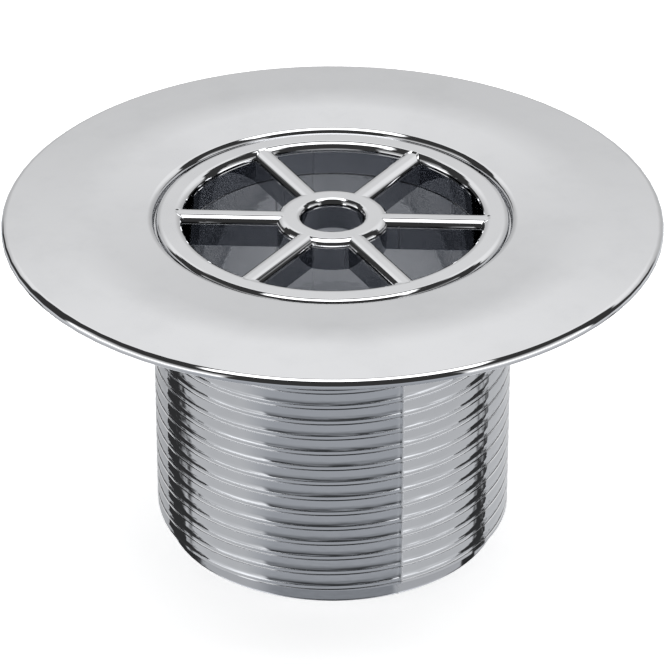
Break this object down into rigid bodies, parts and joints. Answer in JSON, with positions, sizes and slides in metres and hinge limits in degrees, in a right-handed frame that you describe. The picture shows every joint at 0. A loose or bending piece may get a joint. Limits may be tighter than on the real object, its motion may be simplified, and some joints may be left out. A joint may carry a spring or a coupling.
{
  "type": "shower waste",
  "caption": "Round flanged shower waste: a dished rim, a press-in spoked grid and a threaded tail that drains a tray into a trap.",
  "frame": {"origin": "on the axis, in the plane of the flange's underside", "axes": "+Z along the axis, out of the tail and up through the grid; +X along the first spoke, to within 1.5 degrees"},
  "size_m": [0.087, 0.087, 0.0467],
  "materials": {
    "body_chrome": "bright chrome plate on moulded plastic",
    "grid_chrome": "bright chrome plate on moulded plastic"
  },
  "bodies": {
    "root": {"waste_body": "body_chrome", "waste_grid": "grid_chrome"}
  },
  "joints": []
}
